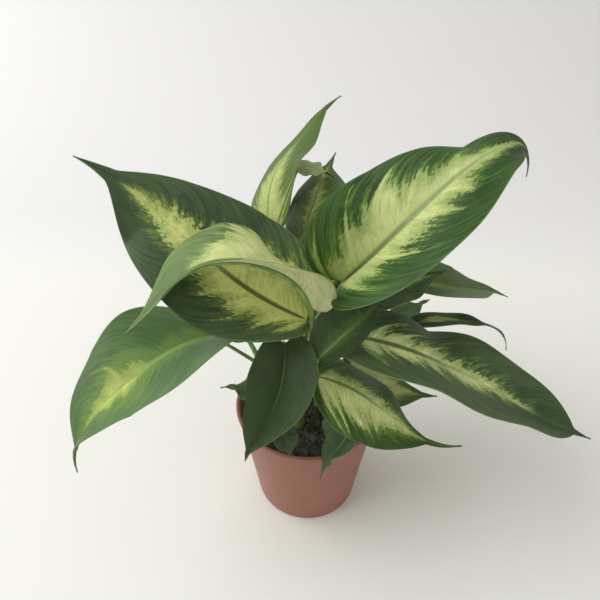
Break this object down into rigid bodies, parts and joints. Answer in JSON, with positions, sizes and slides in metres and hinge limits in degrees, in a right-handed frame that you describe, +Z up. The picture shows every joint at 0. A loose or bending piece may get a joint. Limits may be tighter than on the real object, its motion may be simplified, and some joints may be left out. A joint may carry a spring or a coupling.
{
  "type": "potted dieffenbachia",
  "caption": "Leafy house plant with large variegated pointed leaves on green canes, growing in a plain round terracotta-coloured nursery pot.",
  "frame": {"origin": "middle of the pot's flat underside", "axes": "+Z up along the pot's axis, -Y towards the front that the picture shows, +X to its right"},
  "size_m": [0.356, 0.2699, 0.3221],
  "materials": {
    "pot": "matte thin plastic",
    "soil": "loose dark potting soil",
    "cane": "smooth green stem",
    "leaf_dark": "satin leaf, dark green with a cream middle",
    "leaf_mid": "satin leaf, mid green",
    "leaf_pale": "satin leaf, mostly cream"
  },
  "bodies": {
    "root": {"pot": "pot", "soil": "soil", "cane_front": "cane", "cane_centre": "cane", "cane_left": "cane", "cane_front_right": "cane", "cane_back": "cane", "cane_right_back": "cane", "leaf_left_upper": "leaf_dark", "leaf_arching": "leaf_pale", "leaf_right_upper": "leaf_dark", "leaf_upright": "leaf_mid", "leaf_curled": "leaf_mid", "leaf_back": "leaf_dark", "leaf_right_back": "leaf_dark", "leaf_right_shaded": "leaf_dark", "leaf_right_narrow": "leaf_dark", "leaf_right_low": "leaf_dark", "leaf_front_right": "leaf_pale", "leaf_right_under": "leaf_mid", "leaf_front": "leaf_dark", "leaf_left_low": "leaf_mid", "leaf_left_small": "leaf_mid", "leaf_front_small": "leaf_mid", "leaf_front_hanging": "leaf_mid", "leaf_centre": "leaf_mid", "leaf_right_small": "leaf_mid", "leaf_rear_left": "leaf_dark", "leaf_rear": "leaf_dark", "leaf_rear_right": "leaf_dark", "leaf_rear_low_left": "leaf_mid", "leaf_rear_low": "leaf_mid"}
  },
  "joints": []
}
